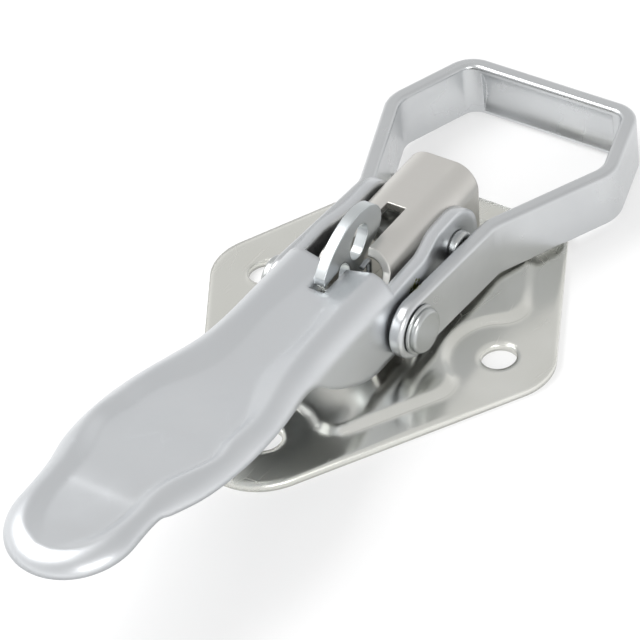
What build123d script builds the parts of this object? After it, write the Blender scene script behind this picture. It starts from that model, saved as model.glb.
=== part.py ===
from build123d import *
import os
from math import radians, tan

# Over-centre toggle latch, all lengths in millimetres and all angles in degrees.
# +X points from the handle to the bail, +Y to the latch's left, +Z up.
# The origin is midway between the two rear bolt holes, on the underside of the base plate.

# ---- Clearances -------------------------------------------------------------------------
running_fit = 0.05          # radial play of a pin that turns in its bore
side_play = 0.3             # free width between two faces that slide past each other
tab_play = 0.1              # play round a bracket tab in its plate slot

# ---- Base plate -------------------------------------------------------------------------
plate_thickness = 2.0
plate_rear_x = 49.7
plate_rear_half_width = 26.0
plate_rear_corner_radius = 3.0
bolt_hole_spacing = 70.0
bolt_hole_radius = 4.5
front_hole_x = -51.1
shoulder_radius = 14.2      # rounding of the plate about each rear hole
nose_radius = 16.8          # rounding of the plate about the front hole
plateau_rise = 1.4          # height of the pressed middle above the rim
plateau_rim = 7.5           # width of the flat rim round the pressed middle
bolt_seat_radius = 12.0     # flat seat kept round each bolt hole
plateau_corner = 7.0
plateau_slope_width = 2.2   # how far the plateau's sides lean in
plateau_foot = 0.1          # upright foot below the slope

# ---- Pivots, seen from the side ---------------------------------------------------------
main_pivot_x = 16.2
main_pivot_z = 17.3
bail_pivot_x = -11.6
bail_pivot_z = 14.4
hook_pivot_x = -10.0
hook_pivot_z = 13.0
main_pin_radius = 3.0
bail_rivet_radius = 4.0
hook_pin_radius = 2.5

# ---- Bracket, an upside-down U of sheet -------------------------------------------------
bracket_thickness = 2.0
bracket_half_width = 10.5
bracket_top_z = 28.2
bracket_bend = 6.5
bracket_front_x = -4.6
bracket_rear_x = 33.0
bracket_foot_rear_x = 30.5
bracket_slot_width = 5.5
bracket_slot_rear_x = 12.0
tab_length = 12.0
tab_front_x = -10.0
tab_rear_x = 20.0

# ---- Lever, one pressed sheet -----------------------------------------------------------
lever_thickness = 3.0
cheek_top_z = 26.0
cheek_bottom_z = 7.8
joggle_start_x = 0.0
joggle_end_x = 9.0
joggle_round = 14.0
ear_radius = 9.5
web_rear_x = -14.0
web_crest_z = 30.2
lever_bend = 6.5            # outside bend of the lever's rim
lever_inner_bend = 2.5
ridge_round = 2.0           # rounding of the ridge between the panel and the outer bend
lever_slot_width = 4.6
lever_slot_front_x = -23.7
neck_x = -50.0
neck_half_width = 17.0
shoulder_x = -60.0
shoulder_half_width = 19.4
bulb_x = -80.0              # widest place of the handle
bulb_half_width = 22.2
taper_x = -100.0
taper_half_width = 20.4
tip_centre_x = -119.5
tip_radius = 17.5
handle_crest_x = -110.0
handle_crest_z = 36.7
tip_crest_z = 35.0
lip_depth = 4.1             # height of the turned-down rim of the handle
dish_depth = 2.2            # depth of the sunk panel along the lever

# ---- Bail, a flat bar bent on edge ------------------------------------------------------
bail_thickness = 4.0
bail_arm_height = 16.4
bail_bar_height = 15.8
bail_top_fall = 3.6         # fall of the strip's top edge towards the cross bar
bail_first_bend_x = 24.7
bail_wide_x = 58.5
bail_wide_half_width = 34.6
bail_bar_x = 84.7
bail_bar_half_width = 25.7
bail_bend = 9.0             # middle radius of the bends in the arms
bail_corner = 6.0           # middle radius of the cross bar's two bends
bail_edge_round = 1.1
trough_depth = 1.8          # hollow pressed into the inside of the cross bar
trough_radius = 12.0
trough_half_length = 20.0

# ---- Pins, rivets and washers -----------------------------------------------------------
rivet_head_radius = 5.7
rivet_head_height = 1.6
rivet_tail_radius = 5.5
rivet_tail_height = 1.3
tail_room = 0.8             # between a rivet's tail and the bracket
rivet_washer_radius = 6.4
washer_thickness = 0.8
main_head_radius = 4.2
main_head_height = 2.0
head_room = 0.4             # between the main pin's head and the bail's arm
sleeve_radius = 5.6

# ---- Safety hook and its spring ---------------------------------------------------------
hook_thickness = 3.0
hook_eye_radius = 6.0
hook_hole_width = 6.2
hook_hole_length = 9.2
hook_hole_x = -6.6
hook_hole_z = 31.2
hook_hole_slope = 49.0
spring_wire = 1.4
coil_play = 0.3             # free room between the coil and the pin inside it
spring_turns = 2.75
spring_tip_x = -9.8
spring_tip_z = 26.5

# ---- Sizes worked out from the ones above -----------------------------------------------
plateau_top_z = plate_thickness + plateau_rise
half_spacing = bolt_hole_spacing / 2
bolt_places = [(0, half_spacing), (0, -half_spacing), (front_hole_x, 0)]
bracket_inner = bracket_half_width - bracket_thickness
ear_inner = bracket_half_width + side_play
ear_half_width = ear_inner + lever_thickness
cheek_inner = bracket_half_width + tail_room + rivet_tail_height + side_play
cheek_half_width = cheek_inner + lever_thickness
main_head_y = ear_half_width + side_play
bail_arm_inner = main_head_y + main_head_height + head_room
bail_arm_half_width = bail_arm_inner + bail_thickness
tip_x = tip_centre_x - tip_radius
hook_half = hook_thickness / 2


def crest_z(x):
    """Height of the lever's crest: level over the web, then a smooth rise to the handle."""
    if x >= neck_x:
        return web_crest_z
    if x <= handle_crest_x:
        run = (handle_crest_x - x) / (handle_crest_x - tip_centre_x + tip_radius)
        return handle_crest_z - (handle_crest_z - tip_crest_z) * run**2
    run = (neck_x - x) / (neck_x - handle_crest_x)
    return web_crest_z + (handle_crest_z - web_crest_z) * (3 - 2 * run) * run**2


# ---- Base plate -------------------------------------------------------------------------
# The outline is the tight wrap round three bolt bosses and the two rear corners.
corner_x = plate_rear_x - plate_rear_corner_radius
corner_y = plate_rear_half_width - plate_rear_corner_radius

with BuildSketch() as plate_outline:
    with Locations((0, half_spacing), (0, -half_spacing)):
        Circle(shoulder_radius)
    with Locations((front_hole_x, 0)):
        Circle(nose_radius)
    with Locations((corner_x, corner_y), (corner_x, -corner_y)):
        Circle(plate_rear_corner_radius)
    make_hull()

# The pressed middle, standing on the plate, with its rim cut back to a slope.
with BuildPart() as plateau:
    with BuildSketch(Plane.XY.offset(plate_thickness)) as plateau_outline:
        add(offset(plate_outline.sketch, -plateau_rim, mode=Mode.PRIVATE))
        with Locations(*bolt_places):
            Circle(bolt_seat_radius, mode=Mode.SUBTRACT)
        fillet(plateau_outline.vertices(), plateau_corner)
    extrude(amount=plateau_rise)
    plateau_top = plateau.faces().sort_by(Axis.Z)[-1]
    chamfer(plateau_top.edges(), plateau_rise - plateau_foot, plateau_slope_width)

with BuildPart() as base_plate:
    add(extrude(plate_outline.sketch, amount=plate_thickness))
    add(plateau.part)
    add(plateau.part.moved(Location((0, 0, -plate_thickness))), mode=Mode.SUBTRACT)
    with BuildSketch(Plane.XY) as bolt_holes:
        with Locations(*bolt_places):
            Circle(bolt_hole_radius)
    extrude(amount=plateau_top_z, mode=Mode.SUBTRACT)
    with BuildSketch(Plane.XY) as tab_slots:
        for side in (1, -1):
            with Locations(
                (tab_front_x, side * (bracket_half_width - bracket_thickness / 2)),
                (tab_rear_x, side * (bracket_half_width - bracket_thickness / 2)),
            ):
                Rectangle(tab_length + 2 * tab_play, bracket_thickness + 2 * tab_play)
    extrude(amount=plateau_top_z, mode=Mode.SUBTRACT)
base_plate.part.label = "base_plate"
export_step(base_plate.part, "parts/base_plate.step")


# ---- Bracket ----------------------------------------------------------------------------
wall_middle = bracket_half_width - bracket_thickness / 2

with BuildPart() as bearing_bracket:
    with BuildSketch(Plane.YZ.offset(bracket_rear_x)) as bracket_section:
        with BuildLine() as bracket_path:
            fold = FilletPolyline(
                (-wall_middle, plateau_top_z),
                (-wall_middle, bracket_top_z - bracket_thickness / 2),
                (wall_middle, bracket_top_z - bracket_thickness / 2),
                (wall_middle, plateau_top_z),
                radius=bracket_bend - bracket_thickness / 2,
            )
        trace(fold, line_width=bracket_thickness)
    extrude(amount=-(bracket_rear_x - front_hole_x))
    with BuildSketch(Plane.XZ) as bracket_side:
        with BuildLine() as bracket_side_line:
            Polyline(
                (-12.6, 18.6),
                (-6.8, 24.2),
                (bracket_front_x, bracket_top_z),
                (bracket_rear_x, bracket_top_z),
                (bracket_foot_rear_x, plateau_top_z),
                (-18.0, plateau_top_z),
            )
            ThreePointArc((-18.0, plateau_top_z), (-16.4, 12.4), (-12.6, 18.6))
        make_face()
    extrude(amount=bracket_half_width, both=True, mode=Mode.INTERSECT)
    with BuildSketch(Plane.XY.offset(bracket_top_z)) as roof_slot:
        with Locations(((bracket_front_x + bracket_slot_rear_x) / 2 - 5, 0)):
            Rectangle(bracket_slot_rear_x - bracket_front_x + 10, bracket_slot_width)
    extrude(amount=-bracket_bend, mode=Mode.SUBTRACT)
    with BuildSketch(Plane.XY.offset(plateau_top_z)) as tabs:
        for side in (1, -1):
            with Locations((tab_front_x, side * wall_middle), (tab_rear_x, side * wall_middle)):
                Rectangle(tab_length, bracket_thickness)
    extrude(amount=-(plate_thickness - 0.2))
    with BuildSketch(Plane.XZ) as bracket_bores:
        with Locations((main_pivot_x, main_pivot_z)):
            Circle(main_pin_radius)
        with Locations((hook_pivot_x, hook_pivot_z)):
            Circle(hook_pin_radius)
    extrude(amount=bracket_half_width, both=True, mode=Mode.SUBTRACT)
bearing_bracket.part.label = "bearing_bracket"
export_step(bearing_bracket.part, "parts/bearing_bracket.step")

# ---- Lever ------------------------------------------------------------------------------
# The web and the handle are the space between an outer and an inner block of the same
# make; a sunk panel is then pressed down through both faces of the sheet.
crest_run = neck_x - handle_crest_x
crest_stations = [neck_x - crest_run * share for share in (0, 0.2, 0.4, 0.6, 0.8, 1, 1.24)]
crest_points = [(x, crest_z(x)) for x in (*crest_stations, tip_x - 5)]


def lever_block(inset, bend, rear_x):
    """The lever's top block, drawn in by the given amount from its sides and its crest."""
    with BuildPart() as block:
        with BuildSketch() as plan:
            with BuildLine():
                side = Spline(
                    (-30.0, cheek_half_width - inset),
                    (neck_x, neck_half_width - inset),
                    (shoulder_x, shoulder_half_width - inset),
                    (bulb_x, bulb_half_width - inset),
                    (taper_x, taper_half_width - inset),
                    (tip_centre_x, tip_radius - inset),
                    tangents=[(-1, 0), (-1, 0)],
                )
                Line((rear_x, cheek_half_width - inset), (-30.0, cheek_half_width - inset))
                Line((rear_x, 0), (rear_x, cheek_half_width - inset))
                ThreePointArc(
                    (tip_centre_x, tip_radius - inset),
                    (tip_x + inset, 0),
                    (tip_centre_x, -(tip_radius - inset)),
                )
                mirror(side, about=Plane.XZ)
                Line((rear_x, -(cheek_half_width - inset)), (-30.0, -(cheek_half_width - inset)))
                Line((rear_x, 0), (rear_x, -(cheek_half_width - inset)))
            make_face()
        extrude(amount=handle_crest_z + 5)
        with BuildSketch(Plane.XZ) as below_crest:
            with BuildLine():
                Line((rear_x, 0), (rear_x, web_crest_z - inset))
                Line((rear_x, web_crest_z - inset), (neck_x, web_crest_z - inset))
                Spline(*[(x, z - inset) for x, z in crest_points], tangents=[(-1, 0), (-1, -0.12)])
                Line((tip_x - 5, crest_z(tip_x - 5) - inset), (tip_x - 5, 0))
                Line((tip_x - 5, 0), (rear_x, 0))
            make_face()
        extrude(amount=bulb_half_width + 1, both=True, mode=Mode.INTERSECT)
        brow = block.edges().filter_by(lambda e: e.center().Z > 20 and e.center().X < rear_x - 0.1)
        brow = brow.filter_by(lambda e: abs(e.center().Y) > 1 or e.center().X < tip_centre_x)
        brow = brow.filter_by(lambda e: e.bounding_box().size.Z < 20 and e.length > 5)
        fillet(brow, bend)
    return block.part


def panel_press(drop, spread, height):
    """The press tool of the sunk panel, lowered and widened by the given amounts."""
    with BuildPart() as press:
        for x, floor_half, wall_run, depth_share in panel_stations:
            floor_z = crest_z(x) - depth_share * dish_depth - drop
            with BuildSketch(Plane.YZ.offset(x)):
                Polygon(
                    (-floor_half - spread, floor_z),
                    (floor_half + spread, floor_z),
                    (floor_half + spread + wall_run * height, floor_z + height),
                    (-floor_half - spread - wall_run * height, floor_z + height),
                    align=None,
                )
        loft()
    return press.part


# Each station gives X, the half-width of the panel's floor, how far its wall runs out for each
# millimetre of rise, and its share of the full depth.
panel_stations = [
    (web_rear_x, 2.3, 3.7, 1.0),
    (-22.0, 4.4, 2.7, 1.0),
    (-30.0, 5.4, 2.3, 1.0),
    (-52.0, 5.6, 2.8, 1.0),
    (-61.0, 7.7, 2.9, 1.0),
    (-71.0, 12.2, 1.75, 1.0),
    (-82.0, 13.2, 1.65, 1.0),
    (-96.0, 12.0, 1.65, 1.0),
    (-112.0, 9.4, 1.7, 1.0),
    (-119.0, 8.4, 1.8, 0.95),
    (-124.5, 5.8, 3.0, 0.7),
    (-128.5, 3.2, 5.0, 0.35),
    (-132.0, 1.4, 6.0, -0.1),
]


def on_ridge(edge):
    """Whether an edge lies where the panel's wall meets the lever's outer bend."""
    spots = [edge @ share for share in (0, 0.5, 1)]
    near_crest = all(abs(spot.Z - crest_z(spot.X)) < dish_depth / 2 for spot in spots)
    off_middle = all(abs(spot.Y) > lever_thickness or spot.X < tip_centre_x - 5 for spot in spots)
    return near_crest and off_middle and edge.bounding_box().size.X > 0.3


with BuildPart() as lever_cavity:
    add(lever_block(lever_thickness, lever_inner_bend, web_rear_x + 1))
    add(panel_press(lever_thickness, 1.0, dish_depth + 0.4), mode=Mode.SUBTRACT)

with BuildPart() as lever:
    add(lever_block(0, lever_bend, web_rear_x))
    add(lever_cavity.part, mode=Mode.SUBTRACT)
    add(panel_press(0, 0, dish_depth + 1.6), mode=Mode.SUBTRACT)
    fillet(lever.edges().filter_by(on_ridge), ridge_round)
    with BuildSketch(Plane.XY) as cheek_plan:
        for side in (1, -1):
            with BuildLine():
                cheek_line = FilletPolyline(
                    (web_rear_x, side * (cheek_half_width - lever_thickness / 2)),
                    (joggle_start_x, side * (cheek_half_width - lever_thickness / 2)),
                    (joggle_end_x, side * (ear_half_width - lever_thickness / 2)),
                    (main_pivot_x + ear_radius, side * (ear_half_width - lever_thickness / 2)),
                    radius=joggle_round,
                )
            trace(cheek_line, line_width=lever_thickness)
    extrude(amount=main_pivot_z + ear_radius)
    with BuildSketch(Plane.XZ) as lever_side:
        with BuildLine():
            Line((-140.0, 31.0), (-140.0, 45.0))
            Line((-140.0, 45.0), (web_rear_x, 45.0))
            Line((web_rear_x, 45.0), (web_rear_x, cheek_top_z))
            Line((web_rear_x, cheek_top_z), (main_pivot_x, main_pivot_z + ear_radius))
            CenterArc((main_pivot_x, main_pivot_z), ear_radius, -90, 180)
            Line((main_pivot_x, main_pivot_z - ear_radius), (6.0, cheek_bottom_z))
            Polyline((6.0, cheek_bottom_z), (3.0, plateau_top_z + side_play), (-6.0, plateau_top_z + side_play))
            Polyline((-6.0, plateau_top_z + side_play), (-10.0, cheek_bottom_z), (-22.0, cheek_bottom_z))
            Spline(
                (-22.0, cheek_bottom_z),
                (-33.5, 11.4),
                (-43.0, 18.2),
                (-49.5, 24.1),
                (-58.0, crest_z(-58) - lip_depth),
                (-80.0, crest_z(-80) - lip_depth),
                (-107.0, crest_z(-107) - lip_depth),
                (-140.0, 31.0),
                tangents=[(-1, 0), (-1, -0.1)],
            )
        make_face()
    extrude(amount=bulb_half_width + 1, both=True, mode=Mode.INTERSECT)
    with BuildSketch(Plane.XY.offset(cheek_bottom_z)) as lever_slot:
        with Locations(((lever_slot_front_x + web_rear_x + 6) / 2, 0)):
            Rectangle(web_rear_x + 6 - lever_slot_front_x, lever_slot_width)
    extrude(amount=web_crest_z, mode=Mode.SUBTRACT)
    with BuildSketch(Plane.XZ) as lever_bores:
        with Locations((main_pivot_x, main_pivot_z)):
            Circle(main_pin_radius + running_fit)
        with Locations((bail_pivot_x, bail_pivot_z)):
            Circle(bail_rivet_radius + running_fit)
    extrude(amount=bulb_half_width, both=True, mode=Mode.SUBTRACT)
lever.part.label = "lever"
export_step(lever.part, "parts/lever.step")

# ---- Bail -------------------------------------------------------------------------------
bail_eye_radius = bail_arm_height / 2 - 0.2
bail_bar_top_z = bail_pivot_z + bail_eye_radius - (bail_bar_x - bail_pivot_x) * tan(radians(bail_top_fall))
bail_front_x = bail_pivot_x - bail_eye_radius

bail_top_slope = (bail_bar_top_z - bail_pivot_z - bail_eye_radius) / (bail_bar_x - bail_pivot_x)
bail_bottom_slope = (bail_bar_top_z - bail_bar_height - bail_pivot_z + bail_eye_radius) / (bail_bar_x - bail_pivot_x)


def on_bail_rim(edge):
    """Whether an edge runs along the strip's top or bottom, or round one of its two eyes."""
    for spot in (edge @ 0.02, edge @ 0.5, edge @ 0.98):
        along = spot.X - bail_pivot_x
        above = spot.Z - bail_pivot_z
        on_top = abs(above - bail_eye_radius - bail_top_slope * along) < 0.01
        on_bottom = abs(above + bail_eye_radius - bail_bottom_slope * along) < 0.01
        on_eye = abs((along**2 + above**2) ** 0.5 - bail_eye_radius) < 0.01
        if along > 0 and not (on_top or on_bottom) or along <= 0 and not on_eye:
            return False
    return edge.length > bail_edge_round


with BuildPart() as bail:
    with BuildSketch() as bail_plan:
        with BuildLine() as bail_path:
            loop = FilletPolyline(
                (bail_front_x, bail_arm_half_width - bail_thickness / 2),
                (bail_first_bend_x, bail_arm_half_width - bail_thickness / 2),
                (bail_wide_x, bail_wide_half_width - bail_thickness / 2),
                (bail_bar_x - bail_thickness / 2, bail_bar_half_width - 1.0),
                (bail_bar_x - bail_thickness / 2, -(bail_bar_half_width - 1.0)),
                (bail_wide_x, -(bail_wide_half_width - bail_thickness / 2)),
                (bail_first_bend_x, -(bail_arm_half_width - bail_thickness / 2)),
                (bail_front_x, -(bail_arm_half_width - bail_thickness / 2)),
                radius=(bail_bend, bail_bend, bail_corner, bail_corner, bail_bend, bail_bend),
            )
        trace(loop, line_width=bail_thickness)
    extrude(amount=bracket_top_z)
    with BuildSketch(Plane.XZ) as bail_side:
        with BuildLine():
            CenterArc((bail_pivot_x, bail_pivot_z), bail_eye_radius, 90, 180)
            Line((bail_pivot_x, bail_pivot_z + bail_eye_radius), (bail_bar_x, bail_bar_top_z))
            Line((bail_bar_x, bail_bar_top_z), (bail_bar_x, bail_bar_top_z - bail_bar_height))
            Line((bail_bar_x, bail_bar_top_z - bail_bar_height), (bail_pivot_x, bail_pivot_z - bail_eye_radius))
        make_face()
    extrude(amount=bail_wide_half_width + 1, both=True, mode=Mode.INTERSECT)
    fillet(bail.edges().filter_by(on_bail_rim), bail_edge_round)
    trough_x = bail_bar_x - bail_thickness - trough_radius + trough_depth
    trough_z = bail_bar_top_z - bail_bar_height / 2
    with BuildSketch(Plane.XZ) as trough:
        with Locations((trough_x, trough_z)):
            Circle(trough_radius)
        with Locations((trough_x - 4, trough_z)):
            Rectangle(2 * trough_radius, 4 * trough_radius, mode=Mode.SUBTRACT)
    extrude(amount=trough_half_length, both=True, mode=Mode.SUBTRACT)
    with BuildSketch(Plane.XZ) as bail_bore:
        with Locations((bail_pivot_x, bail_pivot_z)):
            Circle(bail_rivet_radius + running_fit)
    extrude(amount=bail_wide_half_width, both=True, mode=Mode.SUBTRACT)
bail.part.label = "bail"
export_step(bail.part, "parts/bail.step")

# ---- Bail rivets and their washers ------------------------------------------------------
rivet_washer_y = bail_arm_half_width + side_play
rivet_head_y = rivet_washer_y + washer_thickness
rivet_tail_y = cheek_inner - side_play


def bail_rivet(side):
    """The rivet on the +Y side for side 1, and its mirror image for side -1."""
    with BuildPart() as rivet:
        with BuildSketch(Plane.XZ.offset(-side * (rivet_tail_y - rivet_tail_height))) as tail:
            with Locations((bail_pivot_x, bail_pivot_z)):
                Circle(rivet_tail_radius)
        extrude(amount=-side * rivet_tail_height)
        with BuildSketch(Plane.XZ.offset(-side * rivet_tail_y)) as shank:
            with Locations((bail_pivot_x, bail_pivot_z)):
                Circle(bail_rivet_radius)
        extrude(amount=-side * (rivet_head_y - rivet_tail_y))
        with BuildSketch(Plane.XZ.offset(-side * rivet_head_y)) as head:
            with Locations((bail_pivot_x, bail_pivot_z)):
                Circle(rivet_head_radius)
        extrude(amount=-side * rivet_head_height)
        rim = rivet.faces().sort_by(Axis.Y)[-1 if side > 0 else 0].edges()
        fillet(rim, 0.9)
    return rivet.part


def washer(x, z, inner_y, bore, rim, side):
    """A flat washer whose inner face stands at the given distance from the middle."""
    with BuildPart() as ring:
        with BuildSketch(Plane.XZ.offset(-side * inner_y)) as ring_face:
            with Locations((x, z)):
                Circle(rim)
                Circle(bore, mode=Mode.SUBTRACT)
        extrude(amount=-side * washer_thickness)
        outer_rim = ring.faces().sort_by(Axis.Y)[-1 if side > 0 else 0].edges().sort_by(SortBy.LENGTH)[-1]
        chamfer(outer_rim, 0.2)
    return ring.part


for side, name in ((1, "left"), (-1, "right")):
    rivet = bail_rivet(side)
    rivet.label = "bail_rivet_" + name
    export_step(rivet, "parts/bail_rivet_" + name + ".step")
    rivet_washer = washer(
        bail_pivot_x, bail_pivot_z, rivet_washer_y, bail_rivet_radius, rivet_washer_radius, side
    )
    rivet_washer.label = "bail_washer_" + name
    export_step(rivet_washer, "parts/bail_washer_" + name + ".step")

# ---- Main pivot pin and its sleeve ------------------------------------------------------
with BuildPart() as main_pivot_pin:
    with BuildSketch(Plane.XZ) as main_shank:
        with Locations((main_pivot_x, main_pivot_z)):
            Circle(main_pin_radius)
    extrude(amount=main_head_y, both=True)
    for side in (1, -1):
        with BuildSketch(Plane.XZ.offset(side * main_head_y)) as main_head:
            with Locations((main_pivot_x, main_pivot_z)):
                Circle(main_head_radius)
        extrude(amount=side * main_head_height)
    for end in (-1, 0):
        fillet(main_pivot_pin.faces().sort_by(Axis.Y)[end].edges(), 0.9)
main_pivot_pin.part.label = "main_pivot_pin"
export_step(main_pivot_pin.part, "parts/main_pivot_pin.step")

with BuildPart() as pivot_sleeve:
    with BuildSketch(Plane.XZ) as sleeve_ring:
        with Locations((main_pivot_x, main_pivot_z)):
            Circle(sleeve_radius)
            Circle(main_pin_radius, mode=Mode.SUBTRACT)
    extrude(amount=bracket_inner - side_play, both=True)
pivot_sleeve.part.label = "pivot_sleeve"
export_step(pivot_sleeve.part, "parts/pivot_sleeve.step")

# ---- Safety hook, its pin and its spring ------------------------------------------------
with BuildPart() as safety_hook:
    with BuildSketch(Plane.XZ) as hook_outline:
        with BuildLine():
            Line((-22.2, 28.1), (-21.9, 30.3))
            Spline((-21.9, 30.3), (-17.3, 34.6), (-11.5, 37.5), (-4.7, 38.8), (1.4, 37.0), (3.6, 33.5))
            Spline((3.6, 33.5), (1.2, 28.6), (-3.9, 26.0), (-6.4, 21.5))
            Line((-6.4, 21.5), (hook_pivot_x + hook_eye_radius, hook_pivot_z))
            CenterArc((hook_pivot_x, hook_pivot_z), hook_eye_radius, 0, -180)
            Line((hook_pivot_x - hook_eye_radius, hook_pivot_z), (-12.2, 24.4))
            Spline((-12.2, 24.4), (-11.7, 27.2), (-13.4, 29.4), (-16.2, 28.7))
            Line((-16.2, 28.7), (-22.2, 28.1))
        make_face()
        with Locations(Location((hook_hole_x, hook_hole_z), hook_hole_slope)):
            SlotOverall(hook_hole_length, hook_hole_width, mode=Mode.SUBTRACT)
        with Locations((hook_pivot_x, hook_pivot_z)):
            Circle(hook_pin_radius + running_fit, mode=Mode.SUBTRACT)
    extrude(amount=hook_half, both=True)
safety_hook.part.label = "safety_hook"
export_step(safety_hook.part, "parts/safety_hook.step")

with BuildPart() as hook_pin:
    with BuildSketch(Plane.XZ) as hook_pin_face:
        with Locations((hook_pivot_x, hook_pivot_z)):
            Circle(hook_pin_radius)
    extrude(amount=bracket_half_width + 0.2, both=True)
    chamfer(hook_pin.edges(), 0.3)
hook_pin.part.label = "hook_pin"
export_step(hook_pin.part, "parts/hook_pin.step")

coil_near_y = -(hook_half + 1.1)
coil_pitch = spring_wire + 0.15
coil_far_y = coil_near_y - spring_turns * coil_pitch
wire_half = spring_wire / 2
coil_radius = hook_pin_radius + coil_play + wire_half
leg_x = hook_pivot_x + coil_radius
coil_top_z = hook_pivot_z + coil_radius

with BuildPart() as hook_spring:
    with BuildLine() as coil:
        Helix(
            coil_pitch,
            spring_turns * coil_pitch,
            coil_radius,
            center=(hook_pivot_x, coil_far_y, hook_pivot_z),
            direction=(0, 1, 0),
            lefthand=True,
        )
    with BuildSketch(Plane(coil.line @ 0, z_dir=coil.line % 0)) as coil_wire:
        Circle(wire_half)
    sweep(path=coil.line)
    with BuildLine() as upper_leg:
        FilletPolyline(
            (leg_x, coil_near_y, hook_pivot_z),
            (leg_x, coil_near_y - 1.2, spring_tip_z),
            (spring_tip_x, coil_near_y - 1.2, spring_tip_z - 0.6),
            radius=wire_half + 0.3,
        )
    with BuildSketch(Plane(upper_leg.line @ 0, z_dir=upper_leg.line % 0)) as upper_wire:
        Circle(wire_half)
    sweep(path=upper_leg.line)
    with BuildSketch(Plane((hook_pivot_x, coil_far_y, coil_top_z), z_dir=(1, 0, 0))) as lower_wire:
        Circle(wire_half)
    extrude(amount=coil_radius + 2)
    with Locations((leg_x, coil_near_y, hook_pivot_z), (hook_pivot_x, coil_far_y, coil_top_z)):
        Sphere(wire_half)
hook_spring.part.label = "hook_spring"
export_step(hook_spring.part, "parts/hook_spring.step")
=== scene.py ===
"""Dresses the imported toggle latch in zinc-plated steel, on a pale studio floor."""

import logging
import math
from dataclasses import dataclass, field
from enum import Enum
from typing import Any

import bpy
import numpy as np
from mathutils import Matrix, Vector

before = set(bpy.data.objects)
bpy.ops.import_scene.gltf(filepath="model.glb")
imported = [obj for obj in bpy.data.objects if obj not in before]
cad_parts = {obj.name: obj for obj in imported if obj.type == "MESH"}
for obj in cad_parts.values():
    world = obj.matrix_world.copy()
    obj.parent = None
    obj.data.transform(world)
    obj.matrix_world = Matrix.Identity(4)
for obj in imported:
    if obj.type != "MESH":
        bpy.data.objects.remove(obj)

LOG = logging.getLogger("toggle_latch")
MM = 0.001
WHITE = (1.0, 1.0, 1.0, 1.0)
Socket = bpy.types.NodeSocket
Tree = bpy.types.NodeTree
Millimetres = tuple[float, float, float]


def linear(hex_code: str) -> tuple[float, float, float, float]:
    """Turns an sRGB hex colour into linear light.

    Each channel c is c / 12.92 below 0.04045 and ((c + 0.055) / 1.055) ** 2.4 above it.

    Args:
        hex_code: The colour as "#RRGGBB".

    Returns:
        The linear red, green and blue, and an alpha of 1.
    """
    channels = np.array([int(hex_code[i:i + 2], 16) / 255 for i in (1, 3, 5)])
    light = np.where(channels <= 0.04045, channels / 12.92, ((channels + 0.055) / 1.055) ** 2.4)
    return (*(float(c) for c in light), 1.0)


def add_node(tree: Tree, kind: str, settings: dict[str, Any] | None = None,
             links: dict[Any, Socket] | None = None) -> bpy.types.Node:
    """Adds one shader node with its settings and the links into it.

    Args:
        tree: The node tree that takes the node.
        kind: The node's type name.
        settings: Attribute names, or "in:NAME" for an input's own value, with their values.
        links: Input names or numbers with the sockets that feed them.

    Returns:
        The new node.
    """
    node = tree.nodes.new(kind)
    for name, value in (settings or {}).items():
        if name.startswith("in:"):
            key = name[3:]
            node.inputs[int(key) if key.isdigit() else key].default_value = value
        else:
            setattr(node, name, value)
    for name, socket in (links or {}).items():
        tree.links.new(socket, node.inputs[name])
    return node


def empty_material(name: str) -> bpy.types.Material:
    """Makes a material whose node tree has nothing in it yet.

    Args:
        name: The material's name.

    Returns:
        The material.
    """
    material = bpy.data.materials.new(name)
    material.use_nodes = True
    material.node_tree.nodes.clear()
    return material


class Grain(Enum):
    """The way in which rolling lines run over a piece, as scales along X, Y and Z."""

    ALONG_X = (0.06, 1.0, 1.0)
    NONE = (1.0, 1.0, 1.0)


@dataclass(frozen=True)
class Residue:
    """Specks of yellow-green chromate that dried where they drained out of a joint."""

    centre_mm: Millimetres
    reach_mm: float = 7.0
    speck_mm: float = 1.1
    colour: str = "#7C7D3C"
    density: float = 1.4        # how much the specks crowd together at the centre
    threshold: float = 0.5      # the level at which a speck starts to show
    edge: float = 0.1           # the softness of a speck's edge

    def strength(self, tree: Tree, place: Socket) -> Socket:
        """Draws the specks, which thin out to nothing at reach_mm from the centre.

        Args:
            tree: The finish's node tree.
            place: The Object coordinates.

        Returns:
            The strength of the specks, from 0 to 1.
        """
        centre = tuple(c * MM for c in self.centre_mm)
        far = add_node(tree, "ShaderNodeVectorMath", {"operation": "DISTANCE", "in:1": centre}, {0: place})
        near = add_node(tree, "ShaderNodeMapRange",
                        {"in:From Max": self.reach_mm * MM, "in:To Min": self.density, "in:To Max": 0.0},
                        {"Value": far.outputs["Value"]})
        specks = add_node(tree, "ShaderNodeTexNoise",
                          {"in:Scale": 1 / (self.speck_mm * MM), "in:Detail": 3.0}, {"Vector": place})
        level = add_node(tree, "ShaderNodeMath", {"operation": "MULTIPLY"},
                         {0: specks.outputs["Fac"], 1: near.outputs["Result"]})
        shown = add_node(tree, "ShaderNodeMapRange",
                         {"in:From Min": self.threshold, "in:From Max": self.threshold + self.edge},
                         {"Value": level.outputs["Value"]})
        return shown.outputs["Result"]


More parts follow.
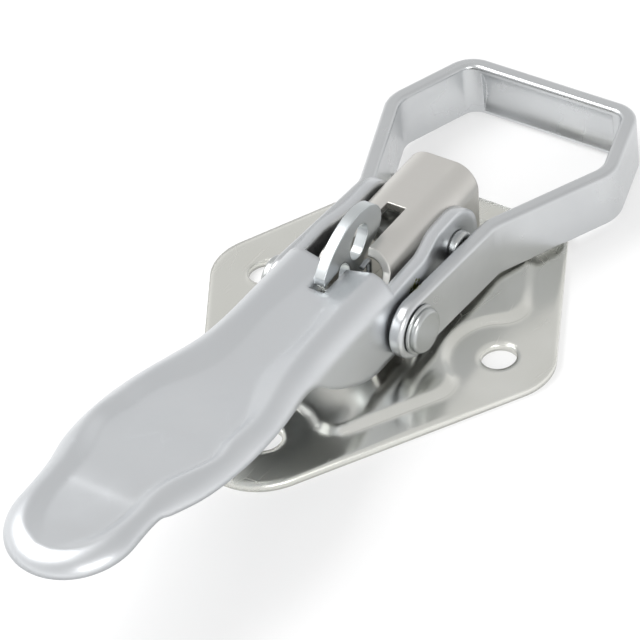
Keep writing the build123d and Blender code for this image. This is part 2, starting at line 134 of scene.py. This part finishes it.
@dataclass(frozen=True)
class ZincPlatedSteel:
    """Bright zinc plating on cold-rolled steel: a cool, nearly neutral grey metal.

    The plating gives the eye slow changes of tone and gloss from the plating bath, hair-fine rolling
    lines along the sheet, a few thin scratches, and edges that the press and the plating have rounded.
    """

    name: str
    tone: str
    stain: str
    roughness: float
    roughness_swing: float = 0.10
    bloom_mm: float = 16.0
    gloss_bloom: tuple[float, float] = (0.3, 0.7)       # the bloom at the glossiest and the dullest
    grain: Grain = Grain.ALONG_X
    grain_mm: float = 0.5
    grain_depth: float = 0.06
    grain_height_mm: float = 0.05
    scratch: float = 0.25
    scratch_cell_mm: float = 9.0
    scratch_width: float = 0.006    # as a share of a cell
    scratch_angle: float = 0.6
    scratch_stretch: float = 0.25
    scratch_bloom: tuple[float, float] = (0.5, 0.62)    # the bloom where scratches start, and are full
    soft_edge_mm: float = 0.5
    residue: Residue | None = None

    def bloom(self, tree: Tree, place: Socket) -> Socket:
        """Draws the slow cloudiness that the plating bath leaves, one cloud every bloom_mm.

        Args:
            tree: The finish's node tree.
            place: The Object coordinates.

        Returns:
            The cloudiness, about 0.5 on average.
        """
        clouds = add_node(tree, "ShaderNodeTexNoise",
                          {"in:Scale": 1 / (self.bloom_mm * MM), "in:Detail": 3.0, "in:Roughness": 0.55},
                          {"Vector": place})
        return clouds.outputs["Fac"]

    def colour(self, tree: Tree, place: Socket, bloom: Socket) -> Socket:
        """Mixes the tone and the stain by the bloom, and lays the residue's specks over them.

        Args:
            tree: The finish's node tree.
            place: The Object coordinates.
            bloom: The cloudiness of the plating.

        Returns:
            The metal's colour.
        """
        tone = add_node(tree, "ShaderNodeMix",
                        {"data_type": "RGBA", "in:6": linear(self.tone), "in:7": linear(self.stain)},
                        {0: bloom}).outputs[2]
        if self.residue is None:
            return tone
        return add_node(tree, "ShaderNodeMix", {"data_type": "RGBA", "in:7": linear(self.residue.colour)},
                        {0: self.residue.strength(tree, place), 6: tone}).outputs[2]

    def gloss(self, tree: Tree, place: Socket, bloom: Socket) -> Socket:
        """Swings the roughness with the bloom, and adds the scratches in the cloudier patches.

        A scratch is the thin line between two cells of a stretched cell pattern.

        Args:
            tree: The finish's node tree.
            place: The Object coordinates.
            bloom: The cloudiness of the plating.

        Returns:
            The roughness.
        """
        slant = add_node(tree, "ShaderNodeMapping",
                         {"in:Rotation": (0.0, 0.0, self.scratch_angle),
                          "in:Scale": (self.scratch_stretch, 1.0, 1.0)}, {"Vector": place})
        cells = add_node(tree, "ShaderNodeTexVoronoi",
                         {"feature": "DISTANCE_TO_EDGE", "in:Scale": 1 / (self.scratch_cell_mm * MM)},
                         {"Vector": slant.outputs["Vector"]})
        cut = add_node(tree, "ShaderNodeMapRange",
                       {"in:From Max": self.scratch_width, "in:To Min": self.scratch, "in:To Max": 0.0},
                       {"Value": cells.outputs["Distance"]})
        first, full = self.scratch_bloom
        patch = add_node(tree, "ShaderNodeMapRange", {"in:From Min": first, "in:From Max": full},
                         {"Value": bloom})
        worn = add_node(tree, "ShaderNodeMath", {"operation": "MULTIPLY"},
                        {0: cut.outputs["Result"], 1: patch.outputs["Result"]})
        low, high = self.gloss_bloom
        even = add_node(tree, "ShaderNodeMapRange",
                        {"in:From Min": low, "in:From Max": high,
                         "in:To Min": self.roughness - self.roughness_swing / 2,
                         "in:To Max": self.roughness + self.roughness_swing / 2},
                        {"Value": bloom})
        return add_node(tree, "ShaderNodeMath", {"operation": "ADD"},
                        {0: even.outputs["Result"], 1: worn.outputs["Value"]}).outputs["Value"]

    def relief(self, tree: Tree, place: Socket) -> Socket:
        """Turns the light over the rounded edges and over the rolling lines.

        Real rolling lines lie closer together than the render can show, so they are drawn grain_mm apart.
        The press leaves no crisp crease, so the light runs smoothly over each edge for soft_edge_mm.

        Args:
            tree: The finish's node tree.
            place: The Object coordinates.

        Returns:
            The surface's normal.
        """
        squeezed = add_node(tree, "ShaderNodeMapping", {"in:Scale": self.grain.value}, {"Vector": place})
        lines = add_node(tree, "ShaderNodeTexNoise",
                         {"in:Scale": 1 / (self.grain_mm * MM), "in:Detail": 2.0, "in:Roughness": 0.6},
                         {"Vector": squeezed.outputs["Vector"]})
        edge = add_node(tree, "ShaderNodeBevel", {"samples": 8, "in:Radius": self.soft_edge_mm * MM})
        return add_node(tree, "ShaderNodeBump",
                        {"in:Strength": self.grain_depth, "in:Distance": self.grain_height_mm * MM},
                        {"Height": lines.outputs["Fac"], "Normal": edge.outputs["Normal"]}).outputs["Normal"]

    def build(self) -> bpy.types.Material:
        """Makes the finish as a node material.

        Returns:
            The material, whose patterns lie in Object coordinates.
        """
        material = empty_material(self.name)
        tree = material.node_tree
        place = add_node(tree, "ShaderNodeTexCoord").outputs["Object"]
        bloom = self.bloom(tree, place)
        metal = add_node(tree, "ShaderNodeBsdfPrincipled", {"in:Metallic": 1.0},
                         {"Base Color": self.colour(tree, place, bloom),
                          "Roughness": self.gloss(tree, place, bloom),
                          "Normal": self.relief(tree, place)})
        add_node(tree, "ShaderNodeOutputMaterial", {}, {"Surface": metal.outputs["BSDF"]})
        return material


# Deep-drawn sheet looks satin, with soft light over the edges of its pressed panel.
PRESSED_SHEET = ZincPlatedSteel(
    "zinc_plated_pressed_steel", tone="#DCDEE0", stain="#CFD2D5", roughness=0.36, grain_depth=0.03,
    soft_edge_mm=2.5, residue=Residue((-5.0, -16.0, 21.0)))
# Flat sheet keeps the mill's shine: bright and warm where it clouds, dark where it mirrors the lever.
BRIGHT_PLATE = ZincPlatedSteel(
    "zinc_plated_bright_steel", tone="#F4F4F0", stain="#D6D6CE", roughness=0.21, roughness_swing=0.16,
    bloom_mm=28.0, grain_depth=0.03, scratch=0.3, soft_edge_mm=2.5)
# Bent bar is even and silky, with no scratches to speak of.
BENT_BAR = ZincPlatedSteel(
    "zinc_plated_bar_steel", tone="#D6D8D9", stain="#C8CACC", roughness=0.30, grain_depth=0.02, scratch=0.0)
# The bracket's sheet is the warmest and most matt of the pieces.
BRACKET_SHEET = ZincPlatedSteel(
    "zinc_plated_bracket_steel", tone="#DEDCD8", stain="#D0CEC9", roughness=0.38, grain_depth=0.03)
# Blanked sheet is left with a slightly greenish grey and a coarser grain.
HOOK_SHEET = ZincPlatedSteel(
    "zinc_plated_blanked_steel", tone="#D5D9DA", stain="#C3C8CA", roughness=0.36, grain_depth=0.05)
# Turned and headed pins are a shade darker, and have no rolling lines.
TURNED_PIN = ZincPlatedSteel(
    "zinc_plated_turned_steel", tone="#C6C8C8", stain="#B3B6B5", roughness=0.3, grain=Grain.NONE,
    residue=Residue((-11.6, -16.0, 20.5)))
# Drawn spring wire is the darkest, and has no rolling lines.
SPRING_WIRE = ZincPlatedSteel(
    "spring_steel_wire", tone="#9EA1A4", stain="#84878A", roughness=0.3, grain=Grain.NONE)


@dataclass(frozen=True)
class Latch:
    """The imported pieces, with the finish that each one takes."""

    finishes: dict[str, ZincPlatedSteel] = field(default_factory=lambda: {
        "base_plate": BRIGHT_PLATE,
        "bearing_bracket": BRACKET_SHEET,
        "lever": PRESSED_SHEET,
        "bail": BENT_BAR,
        "safety_hook": HOOK_SHEET,
        "main_pivot_pin": TURNED_PIN,
        "pivot_sleeve": TURNED_PIN,
        "hook_pin": TURNED_PIN,
        "hook_spring": SPRING_WIRE,
        "bail_rivet_left": TURNED_PIN,
        "bail_rivet_right": TURNED_PIN,
        "bail_washer_left": TURNED_PIN,
        "bail_washer_right": TURNED_PIN,
    })

    def dress(self) -> None:
        """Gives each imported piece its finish, one material for each finish."""
        made = {finish.name: finish.build() for finish in self.finishes.values()}
        for node, finish in self.finishes.items():
            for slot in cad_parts[node].material_slots:
                slot.material = made[finish.name]
            LOG.info("%s takes %s", node, finish.name)


@dataclass(frozen=True)
class SoftBox:
    """One rectangular studio lamp that looks at the latch."""

    name: str
    place_mm: Millimetres
    size_mm: tuple[float, float]
    watts: float

    def hang(self, target: Vector) -> None:
        """Puts the lamp into the scene.

        Args:
            target: The point that the lamp looks at, in metres.
        """
        data = bpy.data.lights.new(self.name, "AREA")
        data.shape = "RECTANGLE"
        data.size, data.size_y = (s * MM for s in self.size_mm)
        data.energy = self.watts
        lamp = bpy.data.objects.new(self.name, data)
        lamp.location = Vector(self.place_mm) * MM
        lamp.rotation_euler = (target - lamp.location).to_track_quat("-Z", "Y").to_euler()
        bpy.context.scene.collection.objects.link(lamp)


@dataclass(frozen=True)
class Studio:
    """A pale floor, a soft white and grey sky, two soft boxes, and the camera."""

    target_mm: Millimetres = (-8.97, 12.13, 2.0)
    azimuth: float = -140.62
    elevation: float = 40.83
    roll: float = -8.03
    distance_mm: float = 955.54
    lens_mm: float = 215.4
    sensor_mm: float = 36.0
    clip_end_m: float = 20.0
    floor_half_mm: float = 1500.0
    floor_colour: str = "#F6F6F6"
    floor_glow: float = 0.5         # how much of the shadow the white paper hides from the camera
    horizon_height: float = 0.05    # the heights are sines of the angle above the floor
    ceiling_height: float = 0.65
    horizon_light: float = 1.0
    ceiling_light: float = 0.7
    soft_boxes: tuple[SoftBox, ...] = (
        SoftBox("key", (-250, 500, 700), (500, 500), 5.0),
        SoftBox("fill", (-600, -700, 500), (600, 400), 3.0),
    )

    def camera(self) -> None:
        """Puts the camera on the sphere round the target, turned about its own axis by the roll."""
        az, el, roll = (math.radians(a) for a in (self.azimuth, self.elevation, self.roll))
        back = Vector((math.cos(az) * math.cos(el), math.sin(az) * math.cos(el), math.sin(el)))
        side = Vector((0, 0, 1)).cross(back).normalized()
        up = back.cross(side)
        right = side * math.cos(roll) + up * math.sin(roll)
        top = up * math.cos(roll) - side * math.sin(roll)
        data = bpy.data.cameras.new("camera")
        data.lens = self.lens_mm
        data.sensor_width = self.sensor_mm
        data.sensor_fit = "HORIZONTAL"
        data.clip_end = self.clip_end_m
        eye = bpy.data.objects.new("camera", data)
        place = (Vector(self.target_mm) + back * self.distance_mm) * MM
        eye.matrix_world = Matrix.Translation(place) @ Matrix((right, top, back)).transposed().to_4x4()
        bpy.context.scene.collection.objects.link(eye)
        bpy.context.scene.camera = eye

    def paper(self) -> bpy.types.Material:
        """Makes the floor's matt paper, which glows white to the camera, to metal and to glass.

        The glow is only a share of the surface, so the latch's shadow still shows on it.

        Returns:
            The material.
        """
        material = empty_material("matt_white_paper")
        tree = material.node_tree
        matt = add_node(tree, "ShaderNodeBsdfDiffuse", {"in:Color": linear(self.floor_colour)})
        white = add_node(tree, "ShaderNodeEmission", {"in:Strength": 1.0})
        ray = add_node(tree, "ShaderNodeLightPath").outputs
        seen = add_node(tree, "ShaderNodeMath", {"operation": "MAXIMUM"},
                        {0: ray["Is Camera Ray"], 1: ray["Is Glossy Ray"]})
        clear = add_node(tree, "ShaderNodeMath", {"operation": "MAXIMUM"},
                         {0: seen.outputs["Value"], 1: ray["Is Transmission Ray"]})
        share = add_node(tree, "ShaderNodeMath", {"operation": "MULTIPLY", "in:1": self.floor_glow},
                         {0: clear.outputs["Value"]})
        surface = add_node(tree, "ShaderNodeMixShader", {},
                           {0: share.outputs["Value"], 1: matt.outputs["BSDF"], 2: white.outputs["Emission"]})
        add_node(tree, "ShaderNodeOutputMaterial", {}, {"Surface": surface.outputs["Shader"]})
        return material

    def floor(self) -> None:
        """Lays the floor level with the plate's underside."""
        half = self.floor_half_mm * MM
        corners = [(-half, -half, 0), (half, -half, 0), (half, half, 0), (-half, half, 0)]
        mesh = bpy.data.meshes.new("floor")
        mesh.from_pydata(corners, [], [(0, 1, 2, 3)])
        mesh.materials.append(self.paper())
        floor = bpy.data.objects.new("floor", mesh)
        bpy.context.scene.collection.objects.link(floor)

    def sky(self) -> None:
        """Sets the world: white at the horizon, and a softer grey overhead, as under a studio ceiling."""
        world = bpy.data.worlds.new("studio_sky")
        bpy.context.scene.world = world
        world.use_nodes = True
        tree = world.node_tree
        tree.nodes.clear()
        way = add_node(tree, "ShaderNodeTexCoord").outputs["Generated"]
        height = add_node(tree, "ShaderNodeSeparateXYZ", {}, {"Vector": way}).outputs["Z"]
        glow = add_node(tree, "ShaderNodeMapRange",
                        {"in:From Min": self.horizon_height, "in:From Max": self.ceiling_height,
                         "in:To Min": self.horizon_light, "in:To Max": self.ceiling_light},
                        {"Value": height})
        light = add_node(tree, "ShaderNodeBackground", {"in:Color": WHITE},
                         {"Strength": glow.outputs["Result"]})
        add_node(tree, "ShaderNodeOutputWorld", {}, {"Surface": light.outputs["Background"]})

    def build(self) -> None:
        """Builds the floor, the light and the camera."""
        self.floor()
        self.sky()
        for soft_box in self.soft_boxes:
            soft_box.hang(Vector(self.target_mm) * MM)
        self.camera()
        bpy.context.scene.view_settings.view_transform = "Standard"
        LOG.info("studio built")


def main() -> None:
    """Dresses the latch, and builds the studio."""
    logging.basicConfig(level=logging.INFO)
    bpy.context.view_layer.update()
    Latch().dress()
    Studio().build()


if __name__ == "__main__":
    main()
